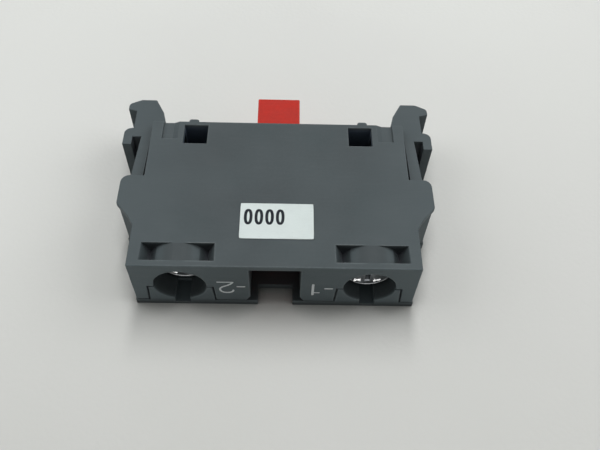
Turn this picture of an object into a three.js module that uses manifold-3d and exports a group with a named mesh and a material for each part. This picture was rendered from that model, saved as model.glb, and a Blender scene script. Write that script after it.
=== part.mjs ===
// Contact block of a modular push button, normally closed, lying on its flat side.
// Millimetres. X is the width, Y runs from the terminal face to the plunger, Z is the thickness.
// The pieces are built with the terminal face at y = 0; the last group centres them on the origin.

import * as THREE from 'three';
import { mergeVertices } from 'three/addons/utils/BufferGeometryUtils.js';
import Module from 'manifold-3d';

const wasm = await Module();
wasm.setup();

// Clearances
const seamGap = 0.2;         // between the two mouldings
const looseFit = 0.3;        // round a piece that only sits in its pocket
const slideFit = 0.2;        // beside a piece that slides
const pinFit = 0.15;         // round a peg in its hole
const cut = 1;               // how far a cutter runs past the face it opens

// Mouldings
const blockThickness = 10;
const roofThickness = 0.9;
const coverThickness = 1;
const frontHalfWidth = 19.05;
const bodyInset = 0.5;       // how much narrower the block is behind the lugs, on each side
const bodyDepth = 25.05;
const frontWall = 0.9;
const backWall = 1.15;
const thinWall = 1.1;
const coverProud = 0.15;     // the cover stands a little wider than the upper moulding
const axisHeight = blockThickness / 2;
const ceiling = blockThickness - roofThickness;

// Lugs that guard the wire entries and hold the hooks
const lugStart = 6.35;
const lugKneeReach = 0.85;
const lugKneeDepth = 7.8;
const lugTipReach = 2.65;
const lugTipDepth = 9.9;
const lugEndDepth = 14.75;
const lugCorner = 1.2;

// Screw terminals
const terminalInset = 6.35;  // from the side of the block to the screw's axis
const wellRadius = 3.525;
const wellOutside = axisHeight + 0.03;   // its crown melts into the roof
const wellWallDepth = 0.62;
const keyholeWidth = 2.05;
const keyholeFloor = 0.5;
const headRadius = 3.25;
const headThickness = 2.5;
const shankRadius = 1.75;
const shankLength = 6.5;
const leftScrewDepth = 3.3;
const rightScrewDepth = 2.4;
const clampSize = 6.4;
const clampThickness = 0.9;
const nutSize = 6;
const nutThickness = 2.4;
const stripThickness = 0.8;
const platePosition = 7.6;   // front of the strip's terminal plate
const entryStart = 4.35;
const entryLength = 4.3;
const entryHeight = 6.8;

// Tongues of the cover that close the wells from below
const tongueTop = 4.5;
const tongueHalfTop = 4.25;
const tongueHalfFoot = 4.5;
const tongueDepth = 3.4;

// Roof details
const pocketStart = 0.9;
const pocketEnd = 3.58;
const pocketHalfWidth = 4.8;
const pocketDepth = 2.1;
const crownShoulder = 2.85;  // half width of the round top of the well in the pocket
const crownFoot = 3.8;       // the same at the bottom of the pocket
const windowSideInset = 6.48;   // from the side of the block to its middle
const windowWidth = 3.42;
const windowDepth = 3.5;
const windowInset = 0.72;    // from the back edge
const windowDrop = 7;        // down the inside of the back wall
const recessInset = 1.65;    // from the side of the block
const recessWidth = 2.3;
const recessRamp = 0.8;
const recessLength = 3.35;
const recessDrop = 0.35;
const pipShift = 0.42;       // outwards from the middle of the window
const pipWidth = 1.45;
const pipReach = 0.48;
const pipCorner = 0.35;

// Plunger and what moves with it
const plungerWidth = 6.4;
const plungerHeight = 7.3;
const plungerReach = 6.25;   // out of the back face, at rest
const plungerTail = 6.5;     // its rear end, from the terminal face
const plungerTravel = 4;
const bridgeTravel = 3;
const plungerWeb = 1;
const plungerChannel = 6.75;
const channelWall = 1.2;
const notchFlare = 0.55;
const notchFlareHeight = 0.95;
const notchOpeningWidth = 4.8;
const notchOpeningDepth = 2.6;
const tailWeb = 1.3;         // closes the plunger's slot behind the spring rib
const springSlotWidth = 4.4;
const springRib = 1;
const springPipRadius = 1.1;
const springPipLength = 0.9;
const springEndGap = 0.1;
const returnWire = 0.3;
const returnDiameter = 3.7;
const returnCurls = 5;
const contactWire = 0.3;
const contactDiameter = 3;
const contactCurls = 3.5;
const contactSpringLength = 3;

// Contacts
const bridgeWidth = 3.2;
const bridgeThickness = 0.8;
const bridgeSlotHeight = 3.8;
const bridgePlay = 0.1;      // left in front of the bridge when the plunger is fully in
const bridgeRoom = 0.4;      // between its end and the fixed strip
const contactOffset = 6.6;
const contactOverhang = 1.4; // length of strip past the centre of a contact
const tipRadius = 1.2;
const tipShankRadius = 0.55;
const tipHoleRadius = 0.7;
const tipTailRadius = 0.9;
const tipTail = 0.25;
const bridgeTipHeight = 0.5;
const fixedTipHeight = 0.6;
const stripWidth = 3.4;
const stripArmRoom = 2;      // between the contact arm and the back wall
const stripPlateHeight = 6.4;
const stripBend = 0.6;

// Latch hooks. Widths are counted outwards from the axis of the foot, depths from the back edge.
const hookStandoff = 0.3;    // above the cover and below the roof
const hookBeadRadius = 1.1;
const hookSeatMouth = 1.9;
const hookSeatWall = 0.4;
const hookSeatBehind = 2.15; // from the back of the lug to the axis
const hookAxisReach = 0.8;   // outside the front part of the block
const hookRecessInset = 0.95;
const hookArmInner = -0.8;
const hookArmLean = 0.32;    // how much closer to the block the arm is at the back edge
const hookArmOuter = 0.9;
const hookArmTaper = 0.5;
const hookStem = 1.7;        // outer face between the claws
const hookClaw = 3;          // outer face of both claws
const lowerClawFoot = -3.6;
const lowerClawSlot = -2.1;  // end of the slot between the arm and the lower claw
const lowerClawTop = -0.35;
const lowerClawRound = 1;
const upperClawFoot = 3.1;
const upperClawRound = 0.7;
const clawSlope = 0.3;
const headInner = -2.85;
const headShoulder = 1;
const headKink = 2.8;
const headKinkInner = -2.4;
const headTop = 5.4;
const headBevel = 0.9;
const headCorner = 0.3;

// Locating pegs
const pegRadius = 0.8;
const pegHeight = 5;
const pegShift = 0.4;        // from the terminal's axis, the contact's axis and the back of the lug
const backPegInset = 1.45;   // from the back edge

// Paper label
const labelWidth = 9.86;
const labelDepth = 5.7;
const labelThickness = 0.12;
const labelCentre = { x: 0.1, y: 7.21 };

const roundSteps = 48;
const sides = { left: -1, right: 1 };

// Places that follow from the sizes
const bodyHalfWidth = frontHalfWidth - bodyInset;
const terminalOffset = frontHalfWidth - terminalInset;
const windowOffset = bodyHalfWidth - windowSideInset;
const chamberFront = pocketEnd + wellWallDepth;
const nutPosition = platePosition + stripThickness;
const backWallInner = bodyDepth - backWall;
const stripArmBack = backWallInner - stripArmRoom;
const stripArmFront = stripArmBack - stripThickness;
const fixedTipFace = stripArmFront - fixedTipHeight;
const bridgeFront = fixedTipFace - bridgeTipHeight;
const bridgeBack = bridgeFront - bridgeThickness;
const bridgeEnd = contactOffset + contactOverhang;
const stripArmEnd = contactOffset - contactOverhang;
const stripRunInner = bridgeEnd + bridgeRoom;
const stripRunOuter = stripRunInner + stripThickness;
const shelfPosition = bridgeBack - contactSpringLength;
const slotEnd = bridgeFront + plungerTravel - bridgeTravel + bridgePlay;
const ribBack = plungerTail + tailWeb + slideFit;
const ribFront = ribBack + springRib;
const springSeat = shelfPosition - plungerWeb;
const plungerBottom = axisHeight + 0.05 - plungerHeight / 2;
const overallDepth = bodyDepth + plungerReach;
const hookSeatRadius = hookBeadRadius + slideFit;
const hookAxisOffset = frontHalfWidth + hookAxisReach;
const hookAxisDepth = lugEndDepth - hookSeatBehind;
const hookRecess = bodyHalfWidth - hookRecessInset;
const frontPeg = { x: terminalOffset + pegShift, y: lugEndDepth + pegShift };
const backPeg = { x: contactOffset - pegShift, y: bodyDepth - backPegInset };
const lugInset = frontHalfWidth + lugTipReach - hookAxisOffset - hookSeatRadius - hookSeatWall;

// Turns closed geometry into a solid for joining and cutting.
function toSolid(geometry) {
  const bare = geometry.clone();
  bare.deleteAttribute('normal');
  bare.deleteAttribute('uv');
  const merged = mergeVertices(bare, 1e-4);
  return new wasm.Manifold(new wasm.Mesh({
    numProp: 3,
    vertProperties: Float32Array.from(merged.attributes.position.array),
    triVerts: Uint32Array.from(merged.index.array),
  }));
}

function toGeometry(solid) {
  const mesh = solid.getMesh();
  const geometry = new THREE.BufferGeometry();
  geometry.setAttribute('position', new THREE.BufferAttribute(Float32Array.from(mesh.vertProperties), 3));
  geometry.setIndex(new THREE.BufferAttribute(Uint32Array.from(mesh.triVerts), 1));
  return geometry;
}

function join(...solids) {
  return solids.reduce((sum, next) => sum.add(next));
}

function cutAway(solid, ...cutters) {
  return cutters.reduce((rest, cutter) => rest.subtract(cutter), solid);
}

function box(x0, x1, y0, y1, z0, z1) {
  const geometry = new THREE.BoxGeometry(x1 - x0, y1 - y0, z1 - z0);
  geometry.translate((x0 + x1) / 2, (y0 + y1) / 2, (z0 + z1) / 2);
  return toSolid(geometry);
}

// A box that lies across the middle plane.
function centredBox(halfWidth, y0, y1, z0, z1) {
  return box(-halfWidth, halfWidth, y0, y1, z0, z1);
}

function shapeFrom(points) {
  return new THREE.Shape(points.map(([x, y]) => new THREE.Vector2(x, y)));
}

// An outline whose corners may carry a third number, the radius they are rounded to.
function roundedShape(corners) {
  const cornerSteps = 4;
  const points = corners.flatMap(([x, y, radius], i) => {
    if (!radius) {
      return [[x, y]];
    }
    const corner = new THREE.Vector2(x, y);
    const before = corners[(i + corners.length - 1) % corners.length];
    const after = corners[(i + 1) % corners.length];
    const toBefore = new THREE.Vector2(before[0], before[1]).sub(corner).normalize();
    const toAfter = new THREE.Vector2(after[0], after[1]).sub(corner).normalize();
    const halfAngle = Math.acos(toBefore.dot(toAfter)) / 2;
    const inward = toBefore.clone().add(toAfter).normalize();
    const centre = corner.clone().addScaledVector(inward, radius / Math.sin(halfAngle));
    const start = corner.clone().addScaledVector(toBefore, radius / Math.tan(halfAngle)).sub(centre);
    const turn = (Math.PI - 2 * halfAngle) * Math.sign(toAfter.cross(toBefore));
    return Array.from({ length: cornerSteps + 1 }, (_, k) => {
      const spoke = start.clone().rotateAround(new THREE.Vector2(), (turn * k) / cornerSteps);
      return [centre.x + spoke.x, centre.y + spoke.y];
    });
  });
  return shapeFrom(points);
}

function prism(shape, depth) {
  return new THREE.ExtrudeGeometry(shape, { depth, bevelEnabled: false, curveSegments: 8 });
}

// An outline in X and Y, standing from z0 to z1.
function upright(shape, z0, z1) {
  const geometry = prism(shape, z1 - z0);
  geometry.translate(0, 0, z0);
  return toSolid(geometry);
}

// An outline in X and Z, running from y0 to y1.
function along(shape, y0, y1) {
  const geometry = prism(shape, y1 - y0);
  geometry.rotateX(Math.PI / 2);
  geometry.translate(0, y1, 0);
  return toSolid(geometry);
}

function uprightRound(x, y, radius, z0, z1, steps = 24) {
  const geometry = new THREE.CylinderGeometry(radius, radius, z1 - z0, steps);
  geometry.rotateX(Math.PI / 2);
  geometry.translate(x, y, (z0 + z1) / 2);
  return toSolid(geometry);
}

function roundAlong(x, z, radius, y0, y1, steps = 24) {
  const geometry = new THREE.CylinderGeometry(radius, radius, y1 - y0, steps);
  geometry.translate(x, (y0 + y1) / 2, z);
  return toSolid(geometry);
}

// The same piece on the other side of the middle plane.
function mirrored(geometry) {
  const copy = geometry.clone();
  copy.scale(-1, 1, 1);
  const index = copy.index.array;
  for (let i = 0; i < index.length; i += 3) {
    [index[i], index[i + 1]] = [index[i + 1], index[i]];
  }
  return copy;
}

// One tube wound round the Y axis, with straight ends.
function coil(diameter, wire, curls, y0, y1) {
  const stepsPerCurl = 8;
  const tubeSides = 5;
  const radius = diameter / 2;
  const wireRadius = wire / 2;
  const steps = Math.round(curls * stepsPerCurl);
  const climb = (y1 - y0 - wire) / steps;
  const path = [];
  const start = new THREE.Vector3(radius, y0 + wireRadius, -wire);
  path.push(start);
  for (let i = 0; i <= steps; i += 1) {
    const angle = (i / stepsPerCurl) * 2 * Math.PI;
    path.push(new THREE.Vector3(
      radius * Math.cos(angle), y0 + wireRadius + i * climb, radius * Math.sin(angle)));
  }
  const last = path[path.length - 1];
  const endAngle = (steps / stepsPerCurl) * 2 * Math.PI;
  path.push(new THREE.Vector3(
    last.x - wire * Math.sin(endAngle), last.y, last.z + wire * Math.cos(endAngle)));
  return tube(path, wireRadius, tubeSides);
}

// A closed tube through the given points; its section keeps one corner away from the Y axis.
function tube(path, radius, tubeSides) {
  const positions = [];
  const index = [];
  path.forEach((point, i) => {
    const before = path[Math.max(i - 1, 0)];
    const after = path[Math.min(i + 1, path.length - 1)];
    const forward = after.clone().sub(before).normalize();
    const outward = new THREE.Vector3(point.x, 0, point.z);
    outward.addScaledVector(forward, -outward.dot(forward)).normalize();
    const across = forward.clone().cross(outward);
    for (let k = 0; k < tubeSides; k += 1) {
      const turn = (k / tubeSides) * 2 * Math.PI;
      const corner = point.clone()
        .addScaledVector(outward, radius * Math.cos(turn))
        .addScaledVector(across, radius * Math.sin(turn));
      positions.push(corner.x, corner.y, corner.z);
    }
  });
  for (let i = 0; i + 1 < path.length; i += 1) {
    for (let k = 0; k < tubeSides; k += 1) {
      const a = i * tubeSides + k;
      const b = i * tubeSides + ((k + 1) % tubeSides);
      index.push(a, b, b + tubeSides, a, b + tubeSides, a + tubeSides);
    }
  }
  const lastRing = (path.length - 1) * tubeSides;
  for (let k = 1; k + 1 < tubeSides; k += 1) {
    index.push(0, k + 1, k);
    index.push(lastRing, lastRing + k, lastRing + k + 1);
  }
  const geometry = new THREE.BufferGeometry();
  geometry.setAttribute('position', new THREE.Float32BufferAttribute(positions, 3));
  geometry.setIndex(index);
  return geometry;
}

// Outline of roof and cover, right half first, then its mirror image.
function blockOutline(proud) {
  const front = frontHalfWidth + proud;
  const lugSide = frontHalfWidth + lugTipReach;
  const right = [
    [front, 0],
    [front, lugStart],
    [frontHalfWidth + lugKneeReach, lugKneeDepth],
    [lugSide, lugTipDepth],
    [lugSide, lugEndDepth, lugCorner],
    [bodyHalfWidth, lugEndDepth],
    [bodyHalfWidth, bodyDepth],
  ];
  const left = right.map(([x, y, radius]) => [-x, y, radius]).reverse();
  return roundedShape([...right, ...left]);
}

// Upper moulding

function housingBlock() {
  const foot = coverThickness + seamGap;
  const top = blockThickness - roofThickness / 2;
  const wallEnd = lugEndDepth - looseFit;
  const roof = upright(blockOutline(0), ceiling, blockThickness);
  const frontBlock = centredBox(frontHalfWidth, 0, wallEnd, foot, top);
  const backBlock = centredBox(hookRecess, wallEnd - cut, bodyDepth, foot, top);
  const lugBlocks = Object.values(sides).map((side) => {
    const lugSide = frontHalfWidth + lugTipReach - lugInset;
    const outline = shapeFrom([
      [frontHalfWidth - cut, entryStart + entryLength],
      [frontHalfWidth + lugKneeReach - lugInset, entryStart + entryLength],
      [lugSide, lugTipDepth + lugInset],
      [lugSide, wallEnd - lugCorner],
      [lugSide - lugCorner, wallEnd],
      [frontHalfWidth - cut, wallEnd],
    ]);
    const block = upright(outline, foot, top);
    return side > 0 ? block : toSolid(mirrored(toGeometry(block)));
  });
  const pips = Object.values(sides).map((side) => {
    const x = side * (windowOffset + pipShift);
    return upright(roundedShape([
      [x - pipWidth / 2, bodyDepth - backWall / 2],
      [x + pipWidth / 2, bodyDepth - backWall / 2],
      [x + pipWidth / 2, bodyDepth + pipReach, pipCorner],
      [x - pipWidth / 2, bodyDepth + pipReach, pipCorner],
    ]), foot, blockThickness);
  });
  return join(roof, frontBlock, backBlock, ...lugBlocks, ...pips);
}

function plungerChannelCut() {
  const half = plungerChannel / 2;
  const foot = coverThickness + seamGap;
  const flare = shapeFrom([
    [-half - notchFlare, foot - cut],
    [half + notchFlare, foot - cut],
    [half + notchFlare, foot],
    [half, foot + notchFlareHeight],
    [-half, foot + notchFlareHeight],
    [-half - notchFlare, foot],
  ]);
  return join(
    centredBox(half, -cut, bodyDepth + cut, 0, ceiling),
    along(flare, -cut, plungerTail),
  );
}

// Everything cut for one terminal; all pockets open downwards, where the cover closes them.
function terminalCuts(side) {
  const x = side * terminalOffset;
  const clampHalf = clampSize / 2 + slideFit;
  const nutHalf = nutSize / 2 + slideFit;
  const tipBore = shankRadius + looseFit;
  const entryTop = axisHeight + entryHeight / 2;
  const entryInner = side * (terminalOffset + clampHalf - cut);
  const entryOuter = side * (frontHalfWidth + lugTipReach + cut);
  const tongue = shapeFrom([
    [x - tongueHalfFoot - seamGap, 0],
    [x + tongueHalfFoot + seamGap, 0],
    [x + tongueHalfTop + seamGap, tongueTop + seamGap],
    [x - tongueHalfTop - seamGap, tongueTop + seamGap],
  ]);
  return [
    roundAlong(x, axisHeight, wellRadius, -cut, chamberFront + cut, roundSteps),
    along(tongue, -cut, tongueDepth + seamGap),
    box(x - clampHalf, x + clampHalf, chamberFront, platePosition + cut / 2, 0, axisHeight + clampHalf),
    box(x - nutHalf, x + nutHalf, nutPosition - cut / 2, nutPosition + nutThickness + slideFit,
      0, axisHeight + nutHalf),
    box(x - tipBore, x + tipBore, nutPosition + nutThickness, screwTipRoom(), 0, axisHeight + tipBore),
    box(Math.min(entryInner, entryOuter), Math.max(entryInner, entryOuter),
      entryStart, entryStart + entryLength, 0, entryTop),
  ];
}

function screwTipRoom() {
  const closedDepth = platePosition - clampThickness - headThickness;
  return closedDepth + headThickness + shankLength + looseFit;
}

// Room for the fixed strip: terminal plate, the run beside the bridge and the contact arm.
function stripCuts(side) {
  const plateOuter = terminalOffset + clampSize / 2 + slideFit;
  const plateTop = axisHeight + stripPlateHeight / 2 + slideFit;
  const runTop = axisHeight + stripWidth / 2 + slideFit;
  const ordered = (a, b) => [Math.min(side * a, side * b), Math.max(side * a, side * b)];
  const [plateFrom, plateTo] = ordered(stripRunInner - slideFit, plateOuter);
  const [runFrom, runTo] = ordered(stripRunInner - slideFit, stripRunOuter + slideFit);
  const [armFrom, armTo] = ordered(plungerChannel / 2 - cut, stripRunInner + cut / 2);
  return [
    box(plateFrom, plateTo, platePosition - slideFit, nutPosition, 0, plateTop),
    box(runFrom, runTo, nutPosition - cut / 2, stripArmBack + slideFit, 0, runTop),
    box(armFrom, armTo, shelfPosition - plungerTravel, stripArmBack + tipTail + slideFit, 0, runTop),
  ];
}

function sideCavities(side) {
  const ordered = (a, b) => [Math.min(side * a, side * b), Math.max(side * a, side * b)];
  const foot = 0;
  const [coreFrom, coreTo] = ordered(
    plungerChannel / 2 + channelWall, stripRunInner - slideFit - thinWall);
  const [roomFrom, roomTo] = ordered(stripRunOuter + slideFit + thinWall / 2, hookRecess - thinWall);
  const pegPadEnd = frontPeg.y + pegRadius + pinFit + thinWall / 2;
  const holeTop = coverThickness + pegHeight;
  const mouth = hookSeatMouth / 2;
  const axisX = side * hookAxisOffset;
  return [
    box(coreFrom, coreTo, frontWall + thinWall, shelfPosition - plungerTravel - thinWall, foot, ceiling),
    box(roomFrom, roomTo, pegPadEnd, backWallInner, foot, ceiling),
    uprightRound(side * frontPeg.x, frontPeg.y, pegRadius + pinFit, foot, holeTop),
    uprightRound(side * backPeg.x, backPeg.y, pegRadius + pinFit, foot, holeTop),
    uprightRound(axisX, hookAxisDepth, hookSeatRadius, foot, ceiling, roundSteps / 2),
    box(axisX - mouth, axisX + mouth, hookAxisDepth, lugEndDepth, foot, ceiling),
  ];
}

// Pocket in the roof with leaning sides; the crown of the screw well stands in it.
function roofPocket(x) {
  const floor = blockThickness - pocketDepth;
  const top = blockThickness + cut;
  const shoulderHeight = axisHeight + Math.sqrt(wellOutside ** 2 - crownShoulder ** 2);
  const opening = shapeFrom([
    [x - pocketHalfWidth, blockThickness],
    [x - crownFoot, floor],
    [x + crownFoot, floor],
    [x + pocketHalfWidth, blockThickness],
    [x + pocketHalfWidth, top],
    [x - pocketHalfWidth, top],
  ]);
  const flanks = shapeFrom([
    [x - crownFoot, floor - cut],
    [x + crownFoot, floor - cut],
    [x + crownFoot, floor],
    [x + crownShoulder, shoulderHeight],
    [x + crownShoulder, top],
    [x - crownShoulder, top],
    [x - crownShoulder, shoulderHeight],
    [x - crownFoot, floor],
  ]);
  const crown = roundAlong(x, axisHeight, wellOutside, 0, pocketEnd + cut, 2 * roundSteps)
    .intersect(along(flanks, 0, pocketEnd + cut));
  return along(opening, pocketStart, pocketEnd).subtract(crown);
}

// Pocket, window and shallow recess in the roof.
function roofCuts(side) {
  const x = side * terminalOffset;
  const windowBack = bodyDepth - windowInset;
  const windowX = side * windowOffset;
  const opening = box(windowX - windowWidth / 2, windowX + windowWidth / 2,
    windowBack - windowDepth, windowBack, blockThickness - windowDrop, blockThickness + cut);
  const recessOuter = bodyHalfWidth - recessInset;
  const recessInner = recessOuter - recessWidth;
  const ramp = shapeFrom([
    [side * recessInner, blockThickness],
    [side * (recessInner + recessRamp), blockThickness - recessDrop],
    [side * recessOuter, blockThickness - recessDrop],
    [side * recessOuter, blockThickness + cut],
    [side * recessInner, blockThickness + cut],
  ]);
  return [roofPocket(x), opening, along(ramp, bodyDepth - recessLength, bodyDepth + cut)];
}

function housingShell() {
  let shell = cutAway(housingBlock(), plungerChannelCut());
  for (const side of Object.values(sides)) {
    shell = cutAway(
      shell, ...terminalCuts(side), ...stripCuts(side), ...sideCavities(side), ...roofCuts(side));
  }
  return toGeometry(shell);
}

// Lower moulding

function baseCover() {
  const root = coverThickness / 2;
  let cover = upright(blockOutline(coverProud), 0, coverThickness);
  cover = cutAway(cover,
    centredBox(notchOpeningWidth / 2, -cut, notchOpeningDepth, -cut, coverThickness + cut));
  const rib = join(
    centredBox(springSlotWidth / 2 - slideFit, ribBack, ribFront, root, ceiling - slideFit),
    roundAlong(0, axisHeight, springPipRadius, ribFront - springRib / 2, ribFront + springPipLength),
  );
  cover = cover.add(rib);
  for (const side of Object.values(sides)) {
    const x = side * terminalOffset;
    const runX = side * (stripRunInner + stripThickness / 2);
    const stripFoot = axisHeight - stripWidth / 2 - slideFit;
    const nutFoot = axisHeight - nutSize / 2 - slideFit;
    const tongue = shapeFrom([
      [x - tongueHalfFoot, root],
      [x + tongueHalfFoot, root],
      [x + tongueHalfFoot, coverThickness],
      [x + tongueHalfTop, tongueTop],
      [x - tongueHalfTop, tongueTop],
      [x - tongueHalfFoot, coverThickness],
    ]);
    cover = join(cover,
      along(tongue, 0, tongueDepth),
      box(x - nutSize / 3, x + nutSize / 3, nutPosition + slideFit, nutPosition + nutThickness - slideFit,
        root, nutFoot),
      box(runX - stripThickness / 2, runX + stripThickness / 2,
        nutPosition + nutThickness, stripArmBack, root, stripFoot),
      uprightRound(side * frontPeg.x, frontPeg.y, pegRadius, root, coverThickness + pegHeight - looseFit),
      uprightRound(side * backPeg.x, backPeg.y, pegRadius, root, coverThickness + pegHeight - looseFit),
    );
    cover = cutAway(cover,
      roundAlong(x, axisHeight, wellRadius, -cut, tongueDepth + cut, roundSteps),
      box(x - keyholeWidth / 2, x + keyholeWidth / 2, -cut, tongueDepth, keyholeFloor, axisHeight));
  }
  return toGeometry(cover);
}

// Moving pieces

function plunger() {
  const half = plungerWidth / 2;
  const top = plungerBottom + plungerHeight;
  const edge = 0.3;
  const end = overallDepth;
  const body = upright(shapeFrom([
    [-half, plungerTail],
    [half, plungerTail],
    [half, end - edge],
    [half - edge, end],
    [-half + edge, end],
    [-half, end - edge],
  ]), plungerBottom, top);
  return toGeometry(cutAway(body,
    centredBox(springSlotWidth / 2, ribBack - slideFit, springSeat, plungerBottom - cut, top + cut),
    centredBox(half + cut, shelfPosition, slotEnd,
      axisHeight - bridgeSlotHeight / 2, axisHeight + bridgeSlotHeight / 2)));
}

// Latch hook of the right side; the outline runs round it from its foot.
function latchHook() {
  const neck = hookSeatMouth / 2 - slideFit;
  const armRoot = lugEndDepth + slideFit;
  const fromBackEdge = (depth) => bodyDepth + depth;
  const corners = [
    [-neck, hookAxisDepth],
    [neck, hookAxisDepth],
    [hookArmOuter, armRoot],
    [hookArmOuter - hookArmTaper, fromBackEdge(lowerClawSlot)],
    [hookStem, fromBackEdge(lowerClawSlot)],
    [hookStem, fromBackEdge(lowerClawFoot)],
    [hookClaw, fromBackEdge(lowerClawFoot)],
    [hookClaw, fromBackEdge(lowerClawTop - clawSlope), lowerClawRound],
    [hookStem, fromBackEdge(lowerClawTop)],
    [hookStem, fromBackEdge(upperClawFoot)],
    [hookClaw, fromBackEdge(upperClawFoot + clawSlope)],
    [hookClaw, fromBackEdge(headTop - headBevel), upperClawRound],
    [hookClaw - 2 * headBevel, fromBackEdge(headTop), headBevel],
    [headInner + 2 * headBevel, fromBackEdge(headTop), headCorner],
    [headKinkInner, fromBackEdge(headKink)],
    [headInner, fromBackEdge(headShoulder)],
    [headInner, fromBackEdge(looseFit)],
    [hookArmInner - hookArmLean, fromBackEdge(looseFit)],
    [hookArmInner, armRoot],
  ];
  const outline = roundedShape(corners.map(([x, y, radius]) => [hookAxisOffset + x, y, radius]));
  const bottom = coverThickness + hookStandoff;
  const top = ceiling - hookStandoff;
  return toGeometry(join(
    upright(outline, bottom, top),
    uprightRound(hookAxisOffset, hookAxisDepth, hookBeadRadius, bottom, top, roundSteps / 2),
  ));
}

// Terminal pieces, built round the Y axis

function terminalScrew() {
  const edge = 0.3;
  const points = [
    [0, 0],
    [headRadius - edge, 0],
    [headRadius, edge],
    [headRadius, headThickness],
    [shankRadius, headThickness],
    [shankRadius, headThickness + shankLength - edge],
    [shankRadius - edge, headThickness + shankLength],
    [0, headThickness + shankLength],
  ].map(([r, y]) => new THREE.Vector2(r, y));
  const body = toSolid(new THREE.LatheGeometry(points, roundSteps));
  const slotWidth = 0.9;
  const slotDepth = 0.9;
  const crossReach = 2.1;
  const crossFoot = 0.9;
  const crossWidth = 0.75;
  const crossDepth = 1.5;
  const blade = shapeFrom([
    [-crossReach, -cut],
    [crossReach, -cut],
    [crossReach, 0],
    [crossFoot, crossDepth],
    [-crossFoot, crossDepth],
    [-crossReach, 0],
  ]);
  const bladeGeometry = prism(blade, crossWidth);
  bladeGeometry.translate(0, 0, -crossWidth / 2);
  const blades = [0, Math.PI / 2].map((turn) => toSolid(bladeGeometry.clone().rotateY(turn)));
  const slot = box(-headRadius - cut, headRadius + cut, -cut, slotDepth, -slotWidth / 2, slotWidth / 2);
  return toGeometry(cutAway(body, slot, ...blades));
}

function clampPlate() {
  const half = clampSize / 2;
  const corner = 0.5;
  const outline = roundedShape([
    [-half, -half, corner],
    [half, -half, corner],
    [half, half, corner],
    [-half, half, corner],
  ]);
  const washer = along(outline, 0, clampThickness)
    .subtract(roundAlong(0, 0, shankRadius + slideFit, -cut, clampThickness + cut));
  return toGeometry(cutAway(washer, ...wireGrooves()));
}

// Two small grooves that grip the wire, in the washer's far face.
function wireGrooves() {
  const depth = 0.2;
  const halfWidth = 0.25;
  const offset = 2.4;
  const flank = halfWidth * (1 + cut / depth);
  return Object.values(sides).map((side) => {
    const groove = shapeFrom([
      [clampThickness - depth, side * offset],
      [clampThickness + cut, side * offset - flank],
      [clampThickness + cut, side * offset + flank],
    ]);
    const geometry = prism(groove, 2 * clampSize);
    geometry.translate(0, 0, -clampSize);
    // the outline lies in Y and Z, and the groove runs along X
    const axes = new THREE.Matrix4().makeBasis(
      new THREE.Vector3(0, 1, 0), new THREE.Vector3(0, 0, 1), new THREE.Vector3(1, 0, 0));
    geometry.applyMatrix4(axes);
    return toSolid(geometry);
  });
}

function terminalNut() {
  const half = nutSize / 2;
  const blank = box(-half, half, 0, nutThickness, -half, half);
  return toGeometry(blank.subtract(roundAlong(0, 0, shankRadius + slideFit, -cut, nutThickness + cut)));
}

// Fixed strip of the right side: plate across the screw, run along the bridge, arm with the contact.
function contactStrip() {
  const low = axisHeight - stripWidth / 2;
  const high = axisHeight + stripWidth / 2;
  const plateEnd = terminalOffset + clampSize / 2;
  const run = new THREE.Shape();
  run.moveTo(plateEnd - clampSize, platePosition);
  run.lineTo(plateEnd - clampSize, nutPosition);
  run.lineTo(stripRunOuter, nutPosition);
  run.lineTo(stripRunOuter, stripArmBack - stripBend);
  run.absarc(stripRunOuter - stripBend, stripArmBack - stripBend, stripBend, 0, Math.PI / 2, false);
  run.lineTo(stripArmEnd, stripArmBack);
  run.lineTo(stripArmEnd, stripArmFront);
  run.lineTo(stripRunInner, stripArmFront);
  run.lineTo(stripRunInner, platePosition + stripBend);
  run.absarc(stripRunInner + stripBend, platePosition + stripBend, stripBend, Math.PI, 1.5 * Math.PI, false);
  run.closePath();
  const plate = box(plateEnd - clampSize, plateEnd, platePosition, nutPosition,
    axisHeight - stripPlateHeight / 2, axisHeight + stripPlateHeight / 2);
  let strip = join(upright(run, low, high), plate);
  strip = cutAway(strip,
    roundAlong(terminalOffset, axisHeight, shankRadius + slideFit, platePosition - cut, nutPosition + cut),
    roundAlong(contactOffset, axisHeight, tipHoleRadius, stripArmFront - cut, stripArmBack + cut));
  return toGeometry(strip);
}

// Contact rivet: face at y = 0, strip held between head and tail.
function contactTip(headHeight, stripHeight) {
  const crown = 0.12;
  const points = [
    [0, 0],
    [tipRadius - crown, 0],
    [tipRadius, crown],
    [tipRadius, headHeight],
    [tipShankRadius, headHeight],
    [tipShankRadius, headHeight + stripHeight],
    [tipTailRadius, headHeight + stripHeight],
    [tipTailRadius, headHeight + stripHeight + tipTail],
    [0, headHeight + stripHeight + tipTail],
  ].map(([r, y]) => new THREE.Vector2(r, y));
  return toGeometry(toSolid(new THREE.LatheGeometry(points, 24)));
}

function contactBridge() {
  const low = axisHeight - bridgeWidth / 2;
  const high = axisHeight + bridgeWidth / 2;
  const corner = 0.4;
  const outline = roundedShape([
    [-bridgeEnd, low, corner],
    [bridgeEnd, low, corner],
    [bridgeEnd, high, corner],
    [-bridgeEnd, high, corner],
  ]);
  const strip = along(outline, bridgeBack, bridgeFront);
  const holes = Object.values(sides).map((side) => roundAlong(
    side * contactOffset, axisHeight, tipHoleRadius, bridgeBack - cut, bridgeFront + cut));
  return toGeometry(cutAway(strip, ...holes));
}

// Materials

function plastic(color, roughness) {
  return new THREE.MeshStandardMaterial({ color, roughness, metalness: 0 });
}

function metal(color, roughness) {
  return new THREE.MeshStandardMaterial({ color, roughness, metalness: 1 });
}

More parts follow.
